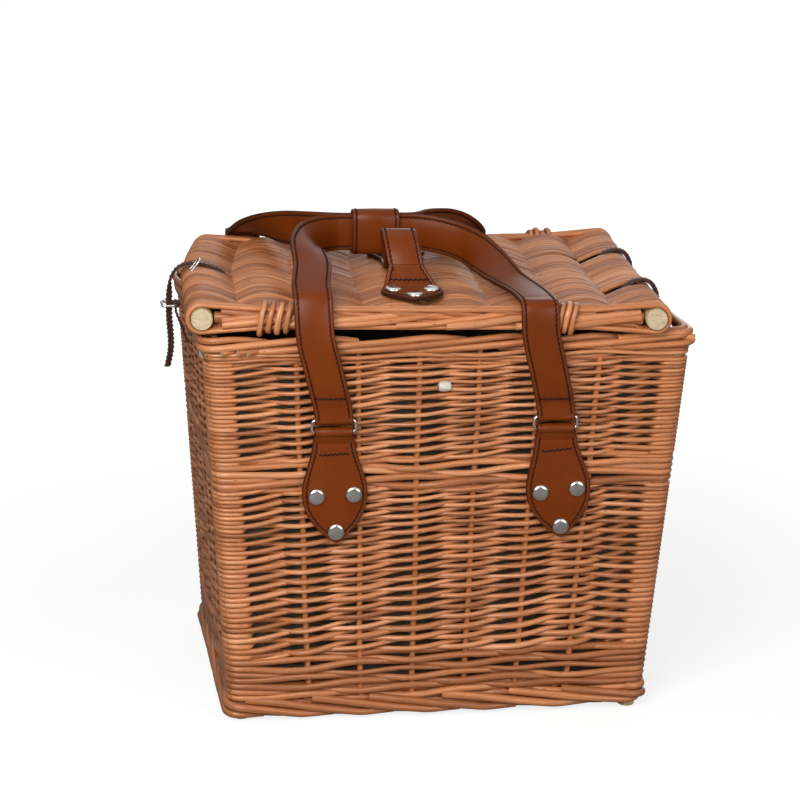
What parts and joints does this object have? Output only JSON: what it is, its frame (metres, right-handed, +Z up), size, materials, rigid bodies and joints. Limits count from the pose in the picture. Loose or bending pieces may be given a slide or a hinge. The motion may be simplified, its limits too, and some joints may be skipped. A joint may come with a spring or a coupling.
{
  "type": "picnic basket",
  "caption": "Rectangular wicker picnic basket with a side-hinged woven lid, leather carry straps joined in a grip, a strap handle on the lid and a lace closure.",
  "frame": {"origin": "on the floor, under the middle of the whole outline seen from above", "axes": "+X to the right as seen from the front, along the long side and towards the hinge; +Y from front to back; +Z up"},
  "size_m": [0.388, 0.2863, 0.3629],
  "materials": {
    "willow": "varnished buff willow",
    "pale_wood": "bare pale wood",
    "tan_leather": "smooth satin",
    "dark_leather": "waxed lace",
    "nickel": "bright nickel plate",
    "grey_cloth": "plain woven cloth"
  },
  "bodies": {
    "basket": {"front_wall": "willow", "back_wall": "willow", "left_wall": "willow", "right_wall": "willow", "corner_post_front_left": "pale_wood", "corner_post_front_right": "pale_wood", "corner_post_back_left": "pale_wood", "corner_post_back_right": "pale_wood", "foot_border": "willow", "rim_border": "willow", "base_panel": "willow", "liner": "grey_cloth", "carry_tab_front_left": "tan_leather", "carry_tab_front_right": "tan_leather", "carry_tab_back_left": "tan_leather", "carry_tab_back_right": "tan_leather", "tab_rivet_front_left_left": "nickel", "tab_rivet_front_left_right": "nickel", "tab_rivet_front_left_tip": "nickel", "tab_rivet_front_right_left": "nickel", "tab_rivet_front_right_right": "nickel", "tab_rivet_front_right_tip": "nickel", "tab_rivet_back_left_left": "nickel", "tab_rivet_back_left_right": "nickel", "tab_rivet_back_left_tip": "nickel", "tab_rivet_back_right_left": "nickel", "tab_rivet_back_right_right": "nickel", "tab_rivet_back_right_tip": "nickel", "hinge_lace_front": "dark_leather", "hinge_lace_back": "dark_leather", "closure_keeper": "dark_leather", "buckle_frame": "nickel"},
    "lid": {"lid_panel": "willow", "lid_rod_left": "pale_wood", "lid_rod_right": "pale_wood", "lid_border_front": "willow", "lid_border_back": "willow", "lid_binding_front_left": "willow", "lid_binding_front_right": "willow", "lid_binding_back_left": "willow", "lid_binding_back_right": "willow", "lid_handle": "tan_leather", "lid_rivet_front_left": "nickel", "lid_rivet_front_right": "nickel", "lid_rivet_front_tip": "nickel", "lid_rivet_back_left": "nickel", "lid_rivet_back_right": "nickel", "lid_rivet_back_tip": "nickel"},
    "closure": {"closure_strap": "dark_leather"},
    "front_handle": {"carry_strap_front": "tan_leather", "carry_ring_front_left": "nickel", "carry_ring_front_right": "nickel", "grip_wrap": "tan_leather"},
    "back_handle": {"carry_strap_back": "tan_leather", "carry_ring_back_left": "nickel", "carry_ring_back_right": "nickel"},
    "prong": {"buckle_prong": "nickel"}
  },
  "joints": [
    {"name": "lid_hinge", "type": "hinge", "parent": "basket", "child": "lid", "pos_m": [0.16175, -0.00864, 0.3091], "axis": [0.0523, 0.9986, 0], "range_deg": [0, 110], "deforming": ["carry_strap_front", "carry_strap_back", "grip_wrap"]},
    {"name": "closure_swing", "type": "hinge", "parent": "lid", "child": "closure", "pos_m": [-0.1678, 0.00864, 0.3091], "axis": [0.0523, 0.9986, 0], "range_deg": [-90, 0]},
    {"name": "front_handle_swing", "type": "hinge", "parent": "basket", "child": "front_handle", "pos_m": [0.003, -0.12767, 0.22585], "axis": [1, 0, 0], "range_deg": [0, 150]},
    {"name": "back_handle_swing", "type": "hinge", "parent": "basket", "child": "back_handle", "pos_m": [-0.022, 0.12767, 0.22585], "axis": [-1, 0, 0], "range_deg": [0, 150]},
    {"name": "prong_lift", "type": "hinge", "parent": "basket", "child": "prong", "pos_m": [-0.18247, 0.01368, 0.2901], "axis": [0, 1, 0], "range_deg": [0, 60]}
  ],
  "couplings": [
    {"joint": "closure_swing", "follows": "lid_hinge", "ratio": -0.8181}
  ]
}
